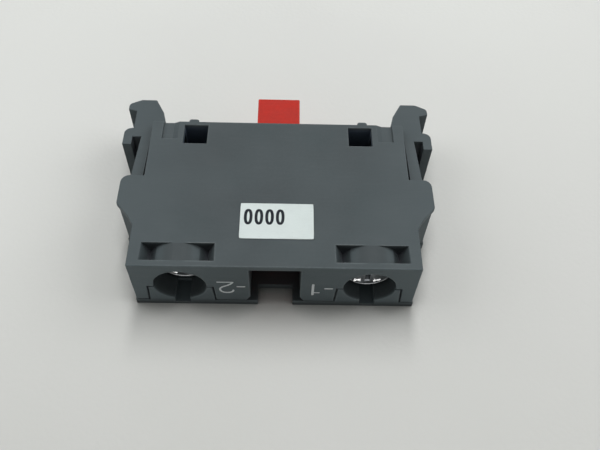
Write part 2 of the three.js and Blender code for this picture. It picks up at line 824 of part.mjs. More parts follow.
const greyPlastic = () => plastic(0x555c5d, 0.55);
const redPlastic = () => plastic(0xc43c33, 0.45);
const brass = () => metal(0xc8a04a, 0.35);
const silver = () => metal(0xd0d0cc, 0.3);
const platedSteel = () => metal(0xb9bec1, 0.28);
const springSteel = () => metal(0x9aa0a4, 0.35);
const paper = () => plastic(0xd9e0df, 0.7);

// Assembly

function named(name, geometry, material) {
  const mesh = new THREE.Mesh(geometry, material);
  mesh.name = name;
  return mesh;
}

const block = new THREE.Group();
block.position.y = -overallDepth / 2;

block.add(named('housing_shell', housingShell(), greyPlastic()));
block.add(named('base_cover', baseCover(), greyPlastic()));
block.add(named('plunger', plunger(), redPlastic()));
block.add(named('contact_bridge', contactBridge(), brass()));

const returnCoil = coil(
  returnDiameter, returnWire, returnCurls, ribFront + springEndGap, springSeat - springEndGap);
const returnSpring = named('return_spring', returnCoil, springSteel());
returnSpring.position.z = axisHeight;
block.add(returnSpring);

const contactCoil = coil(
  contactDiameter, contactWire, contactCurls, shelfPosition + springEndGap, bridgeBack - springEndGap);
const contactSpring = named('contact_spring', contactCoil, springSteel());
contactSpring.position.z = axisHeight;
block.add(contactSpring);

const label = new THREE.BoxGeometry(labelWidth, labelDepth, labelThickness);
const labelMesh = named('label', label, paper());
labelMesh.position.set(labelCentre.x, labelCentre.y, blockThickness + labelThickness / 2);
block.add(labelMesh);

const screwDepths = { left: leftScrewDepth, right: rightScrewDepth };
const hook = latchHook();
const strip = contactStrip();

for (const [sideName, side] of Object.entries(sides)) {
  const onSide = (geometry) => (side > 0 ? geometry : mirrored(geometry));
  block.add(named(`latch_hook_${sideName}`, onSide(hook), greyPlastic()));
  block.add(named(`contact_strip_${sideName}`, onSide(strip), brass()));

  const fixedTip = named(`fixed_tip_${sideName}`, contactTip(fixedTipHeight, stripThickness), silver());
  fixedTip.position.set(side * contactOffset, fixedTipFace, axisHeight);
  block.add(fixedTip);

  const bridgeTip = named(`bridge_tip_${sideName}`, contactTip(bridgeTipHeight, bridgeThickness), silver());
  bridgeTip.position.set(side * contactOffset, fixedTipFace, axisHeight);
  bridgeTip.rotation.x = Math.PI;
  block.add(bridgeTip);

  const screw = named(`terminal_screw_${sideName}`, terminalScrew(), platedSteel());
  screw.position.set(side * terminalOffset, screwDepths[sideName], axisHeight);
  block.add(screw);

  const clamp = named(`clamp_plate_${sideName}`, clampPlate(), platedSteel());
  clamp.position.set(side * terminalOffset, screwDepths[sideName] + headThickness, axisHeight);
  block.add(clamp);

  const nut = named(`terminal_nut_${sideName}`, terminalNut(), platedSteel());
  nut.position.set(side * terminalOffset, nutPosition, axisHeight);
  block.add(nut);
}

export default block;
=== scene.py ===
"""Looks of the contact block: mouldings with rounded edges, threaded screws, wound springs,
label and printed marks.

Places are written in millimetres, with x = 0 in the block's middle, y = 0 on its terminal face
and z = 0 on the table. at() turns them into the frame's metres.
"""

import math
from operator import mul

import bmesh
import bpy
from mathutils import Matrix, Vector
from mathutils.bvhtree import BVHTree


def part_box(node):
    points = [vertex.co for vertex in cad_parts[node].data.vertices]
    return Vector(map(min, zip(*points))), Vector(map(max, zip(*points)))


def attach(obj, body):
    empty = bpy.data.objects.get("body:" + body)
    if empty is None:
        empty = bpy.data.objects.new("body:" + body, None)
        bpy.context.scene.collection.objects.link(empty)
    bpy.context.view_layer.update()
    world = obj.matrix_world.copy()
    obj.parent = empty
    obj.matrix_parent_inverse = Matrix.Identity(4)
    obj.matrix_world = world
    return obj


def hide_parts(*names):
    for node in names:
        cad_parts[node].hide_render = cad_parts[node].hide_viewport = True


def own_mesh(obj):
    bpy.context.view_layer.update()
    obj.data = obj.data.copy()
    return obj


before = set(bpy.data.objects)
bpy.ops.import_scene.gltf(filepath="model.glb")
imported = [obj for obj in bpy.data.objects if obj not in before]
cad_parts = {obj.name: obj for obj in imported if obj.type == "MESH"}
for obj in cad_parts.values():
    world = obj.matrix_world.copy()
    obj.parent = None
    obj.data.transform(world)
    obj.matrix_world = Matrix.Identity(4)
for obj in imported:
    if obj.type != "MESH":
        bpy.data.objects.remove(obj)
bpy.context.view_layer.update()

MM = 0.001
TERMINAL_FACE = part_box("housing_shell")[0].y
TERMINAL_X = 12.7
AXIS_HEIGHT = 5.0
ROOF = 10.0
SIDES = {"left": -1, "right": 1}


def at(x, y, z):
    """A measured place in millimetres, as a point of the frame."""
    return Vector((x * MM, TERMINAL_FACE + y * MM, z * MM))


# Materials

class Recipe:
    """One procedural material. Its patterns, depths and reaches are in millimetres."""

    def __init__(self, name):
        self.material = bpy.data.materials.new(name)
        self.material.use_nodes = True
        self.nodes = self.material.node_tree.nodes
        self.links = self.material.node_tree.links
        self.nodes.clear()
        output = self.nodes.new("ShaderNodeOutputMaterial")
        self.shader = self.nodes.new("ShaderNodeBsdfPrincipled")
        self.links.new(self.shader.outputs["BSDF"], output.inputs["Surface"])
        coordinates = self.nodes.new("ShaderNodeTexCoord").outputs["Object"]
        self.place = self.scaled(coordinates, (1 / MM,) * 3)

    def put(self, socket, value):
        if isinstance(value, bpy.types.NodeSocket):
            self.links.new(value, socket)
        elif socket.type == "RGBA":
            socket.default_value = (*value[:3], 1)
        else:
            socket.default_value = value

    def scaled(self, vector, scale):
        node = self.nodes.new("ShaderNodeMapping")
        self.put(node.inputs["Vector"], vector)
        node.inputs["Scale"].default_value = scale
        return node.outputs["Vector"]

    def split_place(self):
        """The place on the object, as separate x, y and z."""
        node = self.nodes.new("ShaderNodeSeparateXYZ")
        self.put(node.inputs[0], self.place)
        return node.outputs

    def noise(self, scale, detail=2.0, stretch=None, low=0.35, high=0.65):
        """Noise spread over 0 to 1, with scale in waves for each millimetre."""
        node = self.nodes.new("ShaderNodeTexNoise")
        vector = self.scaled(self.place, stretch) if stretch else self.place
        self.put(node.inputs["Vector"], vector)
        node.inputs["Scale"].default_value = scale
        node.inputs["Detail"].default_value = detail
        return self.spread(node.outputs["Fac"], low, high)

    def spread(self, value, low, high, to_low=0.0, to_high=1.0):
        """Maps low to to_low and high to to_high, and keeps the result between those."""
        node = self.nodes.new("ShaderNodeMapRange")
        for name, number in (("Value", value), ("From Min", low), ("From Max", high),
                             ("To Min", to_low), ("To Max", to_high)):
            self.put(node.inputs[name], number)
        return node.outputs["Result"]

    def math(self, operation, a, b=0.0):
        node = self.nodes.new("ShaderNodeMath")
        node.operation = operation
        self.put(node.inputs[0], a)
        self.put(node.inputs[1], b)
        return node.outputs[0]

    def product(self, first, *others):
        for other in others:
            first = self.math("MULTIPLY", first, other)
        return first

    def within(self, value, low, high):
        """1 where a value lies between two limits, otherwise 0."""
        return self.product(self.math("GREATER_THAN", value, low),
                            self.math("LESS_THAN", value, high))

    def length(self, a, b):
        return self.math("SQRT", self.math("ADD", self.product(a, a), self.product(b, b)))

    def blend(self, share, a, b):
        node = self.nodes.new("ShaderNodeMix")
        node.data_type = "RGBA"
        self.put(node.inputs[0], share)
        self.put(node.inputs[6], a)
        self.put(node.inputs[7], b)
        return node.outputs[2]

    def bump(self, height, depth, normal=None):
        """Relief of that depth."""
        node = self.nodes.new("ShaderNodeBump")
        node.inputs["Distance"].default_value = depth * MM
        self.put(node.inputs["Height"], height)
        if normal:
            self.put(node.inputs["Normal"], normal)
        return node.outputs["Normal"]

    def soft_edges(self, radius):
        node = self.nodes.new("ShaderNodeBevel")
        node.samples = 6
        node.inputs["Radius"].default_value = radius * MM
        return node.outputs["Normal"]

    def openness(self, reach):
        """Near 0 deep in a hole and 1 on open faces, seen over that reach."""
        node = self.nodes.new("ShaderNodeAmbientOcclusion")
        node.samples = 8
        node.inputs["Distance"].default_value = reach * MM
        return node.outputs["AO"]

    def outer_edges(self, radius):
        """1 along outer edges, 0 on flats and in corners."""
        geometry = self.nodes.new("ShaderNodeNewGeometry")
        dot = self.nodes.new("ShaderNodeVectorMath")
        dot.operation = "DOT_PRODUCT"
        self.put(dot.inputs[0], geometry.outputs["Normal"])
        self.put(dot.inputs[1], self.soft_edges(radius))
        edge = self.spread(dot.outputs["Value"], 0.998, 0.9)
        return self.product(edge, self.spread(self.openness(2 * radius), 0.6, 0.95))

    def finish(self, **values):
        """Sets the shader's inputs by name and gives the material."""
        for name, value in values.items():
            self.put(self.shader.inputs[name.replace("_", " ")], value)
        return self.material


def shade(colour, factor):
    return tuple(channel * factor for channel in colour)


def tinted(colour, factors):
    return tuple(map(mul, colour, factors))


GREY = (0.0418, 0.0548, 0.0600)
RED = (0.475, 0.0178, 0.0085)
SCREW_PAINTED_SHADE = (0.02, 0.022, 0.025)     # painted shade in the screws' hollows and driver's recesses
DEEP_HOLE_PAINTED_LIGHT = (0.13, 0.14, 0.16)        # paler tone deep in the block's holes: painted light where little light reaches
WARM, COOL = (1.035, 0.99, 0.985), (0.965, 1.01, 1.0)
WINDOW_PAINTED_LIGHT = (2.0, 2.0, 2.5)           # how much paler the windows' inside is: painted light

# Where the painted light and shade on the mouldings change. Y is counted from the terminal face.
# Along a RISE the mask goes from 0 at the first number to 1 at the second.
CROWN_Y = (0.91, 3.57)           # the round crowns of the screw wells, in the roof's pockets
CROWN_FOOT = 8.6
MIDDLE_RISE = (2.3, 1.3)         # beside a terminal's middle, as the next ones
FLANK_RISES = ((1.7, 2.5), (3.6, 2.9))
SLIT_HALF = 1.04                 # the slits through the tongues, under the wells
SLIT_TOP = 2.2
SLIT_RISE = (0.05, 0.3)
WELL_RADIUS = 3.58
WELL_RISE = (0.05, 0.5)
WELL_END = 4.2
ENDS_RISE = (10, 21)
FACE_DEPTH = 0.1
FACE_RISE = (4, 21)
FOOT_RISE = (1.5, 0.4)
WINDOW_X = (10.32, 13.82)
WINDOW_Y = (20.78, 24.35)
WINDOW_RISE = (9.9, 9.2)

# The painted light and shade by place, in painting order before the painted shade in hollows:
# the mask, the strength of each, and the factor it shades by
PAINTED_LIGHT_BY_PLACE = (
    ("ends", 1.0, 1.28), ("face", 0.7, 1.85), ("foot", 0.9, 0.5),
    ("well", 0.6, 0.25), ("middle", 0.9, 0.78), ("flank", 0.9, 1.4),
)
# how much paler the slits under the wells are: painted light
SLIT_PAINTED_LIGHT = 1.3


def painted_light_masks(r):
    """Masks of painted light and shade by place: 1 at the ends of the block and towards the ends
    of the terminal face (painted light), at the block's foot and inside the screw wells (painted
    shade), on the middle of each crown (painted shade), on its flanks (painted light), in the
    slits under the wells and inside the roof's windows (painted light)."""
    x, y, z = r.split_place()
    face = TERMINAL_FACE / MM
    sideways = r.math("ABSOLUTE", x)
    beside = r.math("ABSOLUTE", r.math("SUBTRACT", sideways, TERMINAL_X))
    from_axis = r.length(beside, r.math("SUBTRACT", z, AXIS_HEIGHT))

    def rise(value, span, start=0.0):
        return r.spread(value, start + span[0], start + span[1])

    def between(value, limits, start=0.0):
        return r.within(value, start + limits[0], start + limits[1])

    crown = r.product(between(y, CROWN_Y, face), r.math("GREATER_THAN", z, CROWN_FOOT))
    before_end = r.math("LESS_THAN", y, face + WELL_END)
    return {
        "ends": rise(sideways, ENDS_RISE),
        "face": r.product(r.math("LESS_THAN", y, face + FACE_DEPTH),
                          r.spread(sideways, *FACE_RISE, 0.45, 1.0)),
        "foot": rise(z, FOOT_RISE),
        "well": r.product(r.math("LESS_THAN", from_axis, WELL_RADIUS),
                          rise(y, WELL_RISE, face), before_end),
        "middle": r.product(crown, rise(beside, MIDDLE_RISE)),
        "flank": r.product(crown, *(rise(beside, span) for span in FLANK_RISES)),
        "slit": r.product(r.math("LESS_THAN", beside, SLIT_HALF),
                          r.math("LESS_THAN", z, SLIT_TOP),
                          rise(y, SLIT_RISE, face), before_end),
        "window": r.product(between(sideways, WINDOW_X), between(y, WINDOW_Y, face),
                            rise(z, WINDOW_RISE)),
    }


def moulded_plastic(name, colour, edge_highlight, roughness, shine, cloud_scale=0.11, cloud_shade=1.12):
    """Fine spark-eroded grain, cloudy tone and faint drag lines, with painted highlights along the
    outer edges and painted light and shade by place and in the hollows.
    """
    r = Recipe(name)
    cloud = r.noise(cloud_scale, detail=4)
    tint = r.noise(0.07, detail=3, stretch=(1.0, 1.3, 1.0))
    speckle = r.noise(2.3, detail=3)
    grain = r.noise(15, detail=2)
    sink = r.noise(1.6, detail=2)
    drag = r.noise(1.2, detail=3, stretch=(0.22, 2.6, 1.0), low=0.5, high=0.72)
    tone = r.blend(tint, tinted(colour, WARM), tinted(colour, COOL))
    tone = r.blend(r.product(cloud, 0.7), tone, shade(colour, cloud_shade))
    tone = r.blend(r.product(speckle, 0.22), tone, shade(colour, 1.3))
    # painted highlight along the outer edges, uneven with the speckle
    edge = r.product(r.outer_edges(0.4), r.spread(speckle, 0, 1, 0.4, 0.85))
    tone = r.blend(edge, tone, edge_highlight)
    # painted light and shade by place: lighter ends, front and crown flanks, darker foot, wells
    # and crown middles
    masks = painted_light_masks(r)
    for mask, strength, factor in PAINTED_LIGHT_BY_PLACE:
        tone = r.blend(r.product(masks[mask], strength), tone, shade(colour, factor))
    # painted shade in the hollows
    shelter = r.openness(3.0)
    tone = r.blend(r.spread(shelter, 0.25, 0.8), shade(colour, 0.45), tone)
    # painted light: a paler tone deep in the holes
    tone = r.blend(r.spread(shelter, 0.3, 0.05), tone, DEEP_HOLE_PAINTED_LIGHT)
    # painted light in the slits under the wells and inside the roof's windows
    tone = r.blend(masks["slit"], tone, shade(colour, SLIT_PAINTED_LIGHT))
    tone = r.blend(masks["window"], tone, tinted(colour, WINDOW_PAINTED_LIGHT))
    gloss = r.spread(r.math("ADD", cloud, drag), 0, 2, roughness + 0.05, roughness - 0.08)
    relief = r.bump(grain, 0.003)
    relief = r.bump(sink, 0.003, relief)
    relief = r.bump(drag, 0.001, relief)
    return r.finish(Base_Color=tone, Roughness=gloss, Normal=relief, Specular_IOR_Level=shine)


def rolled_metal(name, colour, dull, roughness):
    """Strip or wire with rolling lines, stains and softly rounded edges."""
    r = Recipe(name)
    stain = r.noise(0.7, detail=4, low=0.4, high=0.75)
    lines = r.noise(2.2, detail=3, stretch=(0.3, 0.3, 5.0))
    pits = r.noise(5.0, detail=2, low=0.55, high=0.8)
    tone = r.blend(r.product(stain, 0.55), colour, dull)
    tone = r.blend(r.product(r.outer_edges(0.15), 0.5), tone, shade(colour, 1.12))
    gloss = r.spread(r.math("ADD", stain, lines), 0, 2, roughness - 0.06, roughness + 0.2)
    relief = r.bump(lines, 0.003, r.soft_edges(0.07))
    relief = r.bump(pits, 0.004, relief)
    return r.finish(Base_Color=tone, Roughness=gloss, Metallic=1.0, Normal=relief)


RECESS_RADIUS = 2.85


def plated_turning(name, colour, dull, roughness, recess_from=None):
    """Zinc-plated turned steel: tool rings round the screw's axis, under a clear bluish plating.
    Painted shade darkens its hollows and the driver's recess behind recess_from, a place along the
    axis."""
    r = Recipe(name)
    x, y, z = r.split_place()
    outwards = r.math("SUBTRACT", r.math("ABSOLUTE", x), TERMINAL_X)
    upwards = r.math("SUBTRACT", z, AXIS_HEIGHT)
    gather = r.nodes.new("ShaderNodeCombineXYZ")
    for socket, value in zip(gather.inputs, (outwards, y, upwards)):
        r.put(socket, value)
    rings = r.nodes.new("ShaderNodeTexWave")
    rings.wave_type = "RINGS"
    rings.rings_direction = "Y"
    r.put(rings.inputs["Vector"], gather.outputs[0])
    rings.inputs["Scale"].default_value = 3.5
    rings.inputs["Distortion"].default_value = 0.6
    stain = r.noise(0.9, detail=4, low=0.4, high=0.7)
    pits = r.noise(6.0, detail=2, low=0.55, high=0.8)
    tone = r.blend(r.product(stain, 0.6), colour, dull)
    # painted shade in the hollows
    tone = r.blend(r.spread(r.openness(1.3), 0.5, 0.9), SCREW_PAINTED_SHADE, tone)
    # painted shade in the driver's recess
    if recess_from is not None:
        recess = r.product(r.math("LESS_THAN", r.length(outwards, upwards), RECESS_RADIUS),
                           r.math("GREATER_THAN", y, recess_from))
        tone = r.blend(r.product(recess, 0.85), tone, SCREW_PAINTED_SHADE)
    gloss = r.spread(stain, 0, 1, roughness, roughness + 0.16)
    relief = r.bump(rings.outputs["Fac"], 0.002, r.soft_edges(0.05))
    relief = r.bump(pits, 0.004, relief)
    return r.finish(Base_Color=tone, Roughness=gloss, Metallic=1.0, Normal=relief)


def printed_paper(name, colour):
    """Matt label stock: fibres, a slight cloud and small specks."""
    r = Recipe(name)
    cloud = r.noise(0.35, detail=3)
    fibres = r.noise(3.2, detail=4, stretch=(0.5, 2.2, 1.0))
    specks = r.noise(4.5, detail=1, low=0.7, high=0.78)
    tone = r.blend(cloud, shade(colour, 0.975), shade(colour, 1.02))
    tone = r.blend(r.product(fibres, 0.12), tone, shade(colour, 0.85))
    tone = r.blend(r.product(specks, 0.3), tone, shade(colour, 0.55))
    gloss = r.spread(fibres, 0, 1, 0.62, 0.8)
    return r.finish(Base_Color=tone, Roughness=gloss, Normal=r.bump(fibres, 0.006),
                    Specular_IOR_Level=0.3)


def ink(name, colour, thin, roughness, shine):
    """Print that lies unevenly: it thins out in small spots."""
    r = Recipe(name)
    cover = r.noise(5.0, detail=3, low=0.5, high=0.8)
    cloud = r.noise(0.8, detail=2)
    tone = r.blend(r.product(cover, 0.5), colour, thin)
    gloss = r.spread(cloud, 0, 1, roughness, roughness + 0.15)
    return r.finish(Base_Color=tone, Roughness=gloss, Normal=r.bump(cover, 0.003),
                    Specular_IOR_Level=shine)


# the third colour of each is its painted highlight along the outer edges
grey_plastic = moulded_plastic(
    "grey_moulding", GREY, (0.13, 0.15, 0.155), roughness=0.65, shine=0.4)
red_plastic = moulded_plastic(
    "red_moulding", RED, (0.60, 0.07, 0.05), roughness=0.6, shine=0.25,
    cloud_scale=0.4, cloud_shade=0.8)
brass = rolled_metal("rolled_brass", (0.74, 0.56, 0.27), (0.42, 0.27, 0.12), 0.3)
silver = rolled_metal("silver_rivet", (0.80, 0.80, 0.77), (0.48, 0.46, 0.42), 0.26)
spring_steel = rolled_metal("spring_wire", (0.55, 0.57, 0.60), (0.30, 0.30, 0.31), 0.3)
zinc = plated_turning("zinc_plating", (0.62, 0.64, 0.66), (0.36, 0.38, 0.40), 0.3)
# paler plating for the burrs: worn high spots, and a painted glint
wear_and_glint_zinc = rolled_metal("wear_and_glint_plating", (0.88, 0.89, 0.90), (0.62, 0.64, 0.66), 0.24)
paper = printed_paper("label_paper", (0.66, 0.73, 0.715))
dark_ink = ink("dark_print", (0.014, 0.017, 0.022), (0.045, 0.05, 0.06), 0.55, 0.12)
pale_ink = ink("pale_print", (0.50, 0.53, 0.54), (0.24, 0.26, 0.27), 0.5, 0.5)


# Meshes

WELD = 0.002 * MM
SHARP = math.radians(30)
ABOVE_TABLE = 0.02 * MM


def piece(name, bm, material, body, replaces=()):
    """A finished mesh as a piece of the object."""
    mesh = bpy.data.meshes.new(name)
    bm.to_mesh(mesh)
    bm.free()
    made = bpy.data.objects.new(name, mesh)
    bpy.context.scene.collection.objects.link(made)
    mesh.materials.append(material)
    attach(made, body)
    if replaces:
        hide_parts(*replaces)
    return made


def smooth(made, angle, flat_area=3.0):
    """Smooth shading across edges below the angle in degrees, except at the rims of flat faces
    larger than flat_area in square millimetres."""
    mesh = made.data
    mesh.shade_smooth()
    bm = bmesh.new()
    bm.from_mesh(mesh)
    for edge in bm.edges:
        faces = edge.link_faces
        flat = any(f.calc_area() > flat_area * MM * MM for f in faces)
        limit = math.radians(0.5 if flat else angle)
        edge.smooth = len(faces) == 2 and edge.calc_face_angle() < limit
    bm.to_mesh(mesh)
    bm.free()
    return made


def skin(bm, rings, around=False):
    """Joins rings of vertices into a solid: with a cap at each end, or closed all around."""
    for a, b in zip(rings, rings[1:] + rings[:1] if around else rings[1:]):
        for k in range(len(a)):
            n = (k + 1) % len(a)
            bm.faces.new((a[k], a[n], b[n], b[k]))
    if not around:
        bm.faces.new(rings[0][::-1])
        bm.faces.new(rings[-1])


def facing_out(bm):
    """The mesh, with its faces turned outwards."""
    bmesh.ops.recalc_face_normals(bm, faces=bm.faces)
    return bm


def clean_copy(node):
    """A CAD node with its corners joined and its flat faces whole."""
    bm = bmesh.new()
    bm.from_mesh(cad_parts[node].data)
    bmesh.ops.remove_doubles(bm, verts=bm.verts, dist=WELD)
    bmesh.ops.dissolve_limit(
        bm, angle_limit=math.radians(1), verts=bm.verts, edges=bm.edges)
    bm.normal_update()
    return bm


obstacles = [BVHTree.FromBMesh(clean_copy(n)) for n in ("housing_shell", "base_cover", "plunger")]


def is_open(edge):
    """Whether nothing of the block stands in front of an outer edge."""
    facing = (edge.link_faces[0].normal + edge.link_faces[1].normal).normalized()
    middle = (edge.verts[0].co + edge.verts[1].co) / 2
    start = middle + facing * 0.02 * MM
    return all(tree.ray_cast(start, facing)[0] is None for tree in obstacles)


def round_edges(bm, width, only_open=False):
    """Rounds the outer edges that have room for it, but none that lies on the table."""
    edges = {
        e for e in bm.edges
        if len(e.link_faces) == 2 and e.is_convex and e.calc_face_angle() > SHARP
        and max(v.co.z for v in e.verts) > ABOVE_TABLE
    }
    if only_open:
        edges = {e for e in edges if is_open(e)}
    room = 1.05 * width * MM
    while True:
        tight = {
            e for e in edges
            for v in e.verts
            for near in v.link_edges
            if near not in edges and near.calc_length() < room
        }
        if not tight:
            break
        edges -= tight
    bmesh.ops.bevel(
        bm, geom=list(edges), offset=width * MM, offset_type="OFFSET", segments=3,
        profile=0.5, affect="EDGES", clamp_overlap=True)
    return bm


# Mouldings

BLOCK_ROUNDING = 0.13
PLUNGER_ROUNDING = 0.15
HOOK_ROUNDING = 0.18
PLUNGER_CHAMFER = 0.3


def moulding(name, node, width, body, only_open=False):
    """A grey moulding in place of its CAD node."""
    bm = round_edges(clean_copy(node), width, only_open)
    return smooth(piece(name, bm, grey_plastic, body, [node]), 20)


def squared_end(bm, chamfer):
    """Takes the small chamfers off the far corners, so that only their rounding is left."""
    end = max(v.co.y for v in bm.verts)
    half = max(abs(v.co.x) for v in bm.verts)
    for v in bm.verts:
        if v.co.y > end - 1.1 * chamfer * MM:
            v.co.x, v.co.y = math.copysign(half, v.co.x), end
    bmesh.ops.remove_doubles(bm, verts=bm.verts, dist=WELD)
    bm.normal_update()
    return bm


moulding("upper_moulding", "housing_shell", BLOCK_ROUNDING, "block", only_open=True)
moulding("lower_moulding", "base_cover", BLOCK_ROUNDING, "block", only_open=True)
slider = round_edges(squared_end(clean_copy("plunger"), PLUNGER_CHAMFER), PLUNGER_ROUNDING)
smooth(piece("plunger_slider", slider, red_plastic, "plunger_body",
             ["plunger"]), 20)
for side in SIDES:
    moulding(f"hook_{side}", f"latch_hook_{side}", HOOK_ROUNDING, f"latch_{side}")


# Screws

HEAD_THICKNESS = 2.5
HEAD_ROUNDING = 0.09
THREAD_LENGTH = 6.5
THREAD_RADIUS = 1.75
THREAD_PITCH = 0.7
THREAD_DEPTH = 0.32
RIM_PROFILE = ((2.9, 0.02), (2.98, -0.03), (3.1, -0.03), (3.15, 0.02))    # radius and depth
RIM_GAP = math.asin(0.55 / 3.0)      # half the slot's angle, where it runs out at the rim
RECESS_DEPTH = 0.12                  # where the painted shade in the recess begins, behind the head's face
BURR_BESIDE, BURR_ABOVE = 1.38, 1.95             # from the screw's axis
BURR_ANGLE = math.radians(28)
BURR_HALF_LENGTH, BURR_HALF_WIDTH = 0.6, 0.15
BURR_FOOT, BURR_RIDGE = 0.02, -0.11              # depths, from the head's face
BURR_SLOPE = 0.1                                 # by which the ridge is shorter at each end


def threaded_shank(centre, start):
    """A closed rod with a helical V thread that stays inside its radius."""
    steps = 40
    rows = int(THREAD_LENGTH / THREAD_PITCH * 12)
    bm = bmesh.new()
    rings = []
    for i in range(rows + 1):
        travel = THREAD_LENGTH * i / rows
        taper = min(1.0, 0.75 + (THREAD_LENGTH - travel) / THREAD_PITCH * 0.25)
        ring = []
        for k in range(steps):
            turn = 2 * math.pi * k / steps
            phase = (travel / THREAD_PITCH - k / steps) % 1.0
            groove = 1 - abs(2 * phase - 1)
            reach = (THREAD_RADIUS - THREAD_DEPTH * min(1.0, 1.25 * groove)) * taper
            ring.append(bm.verts.new(at(
                centre + reach * math.cos(turn), start + travel,
                AXIS_HEIGHT + reach * math.sin(turn))))
        rings.append(ring)
    skin(bm, rings)
    return facing_out(bm)


def screw_head(node, back):
    """The head of a CAD screw, cut off behind and closed."""
    bm = clean_copy(node)
    behind = [v for v in bm.verts if v.co.y > back + 0.01 * MM]
    bmesh.ops.delete(bm, geom=behind, context="VERTS")
    bmesh.ops.holes_fill(bm, edges=[e for e in bm.edges if e.is_boundary])
    return round_edges(facing_out(bm), HEAD_ROUNDING)


def raised_rim(centre, face):
    """A low bead along the head's edge, broken where the slot runs out."""
    steps = 40
    bm = bmesh.new()
    for start in (RIM_GAP, math.pi + RIM_GAP):
        rings = []
        for k in range(steps + 1):
            a = start + (math.pi - 2 * RIM_GAP) * k / steps
            rings.append([
                bm.verts.new(at(centre + radius * math.cos(a), face + depth,
                                AXIS_HEIGHT + radius * math.sin(a)))
                for radius, depth in RIM_PROFILE
            ])
        skin(bm, rings)
    return facing_out(bm)


def burr(bm, x, height, face, angle):
    """A roof-shaped ridge thrown up by the driver, proud of the head's face."""
    middle = Vector((x, height))
    along = Vector((math.cos(angle), math.sin(angle)))
    across = Vector((-along.y, along.x))
    corners = [
        middle + along * BURR_HALF_LENGTH * end + across * BURR_HALF_WIDTH * edge
        for end, edge in ((-1, -1), (1, -1), (1, 1), (-1, 1))
    ]
    foot = [bm.verts.new(at(p.x, face + BURR_FOOT, p.y)) for p in corners]
    reach = along * (BURR_HALF_LENGTH - BURR_SLOPE)
    ridge = [
        bm.verts.new(at(p.x, face + BURR_RIDGE, p.y)) for p in (middle - reach, middle + reach)
    ]
    bm.faces.new(foot)
    bm.faces.new((foot[0], foot[1], ridge[1], ridge[0]))
    bm.faces.new((foot[2], foot[3], ridge[0], ridge[1]))
    bm.faces.new((foot[1], foot[2], ridge[1]))
    bm.faces.new((foot[3], foot[0], ridge[0]))


def crossed_burrs(centre, face):
    """Two crossing burrs in each quarter of the head."""
    bm = bmesh.new()
    for right, up in ((1, 1), (-1, 1), (-1, -1), (1, -1)):
        for angle in (BURR_ANGLE, -BURR_ANGLE):
            burr(bm, centre + BURR_BESIDE * right, AXIS_HEIGHT + BURR_ABOVE * up, face, angle)
    return facing_out(bm)


for side, sign in SIDES.items():
    node, body, centre = f"terminal_screw_{side}", f"screw_{side}", sign * TERMINAL_X
    front = (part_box(node)[0].y - TERMINAL_FACE) / MM
    head = screw_head(node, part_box(node)[0].y + HEAD_THICKNESS * MM)
    plating = plated_turning(f"screw_plating_{side}", (0.52, 0.54, 0.57), (0.28, 0.30, 0.32), 0.3,
                             recess_from=TERMINAL_FACE / MM + front + RECESS_DEPTH)
    smooth(piece(f"screw_head_{side}", head, plating, body, [node]), 40)
    rim = raised_rim(centre, front)
    smooth(piece(f"screw_rim_{side}", rim, zinc, body), 30)
    burrs = crossed_burrs(centre, front)
    piece(f"screw_ticks_{side}", burrs, wear_and_glint_zinc, body)
    shank = threaded_shank(centre, front + HEAD_THICKNESS)
    smooth(piece(f"screw_thread_{side}", shank, zinc, body), 60)


# Springs

WIRE = 0.3


def wound_spring(diameter, turns, start, end):
    """A compression spring round the plunger's axis, with closed end coils."""
    across, around = 10, 28
    radius = diameter / 2
    steps = int(turns * around)
    closed = 0.8 * around
    free = (end - start - WIRE) - 2 * WIRE * closed / around
    climb = free / (steps - 2 * closed)
    y = start + WIRE / 2
    bm = bmesh.new()
    rings = []
    for i in range(steps + 1):
        turn = 2 * math.pi * i / around
        out = Vector((math.cos(turn), 0, math.sin(turn)))
        middle = Vector((radius * out.x, y, AXIS_HEIGHT + radius * out.z))
        rings.append([
            bm.verts.new(at(*(middle + out * (WIRE / 2 * math.cos(a))
                              + Vector((0, WIRE / 2 * math.sin(a), 0)))))
            for a in (2 * math.pi * k / across for k in range(across))
        ])
        y += WIRE / around if i < closed or i > steps - closed else climb
    skin(bm, rings)
    return facing_out(bm)


coil = wound_spring(diameter=3.7, turns=6.5, start=9.1, end=15.1)
return_coil = smooth(
    piece("return_coil", coil, spring_steel, "block", ["return_spring"]), 60)
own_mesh(return_coil)
coil = wound_spring(diameter=3.0, turns=4.5, start=16.3, end=19.1)
smooth(piece("contact_coil", coil, spring_steel, "plunger_body",
             ["contact_spring"]), 60)


# Label and print

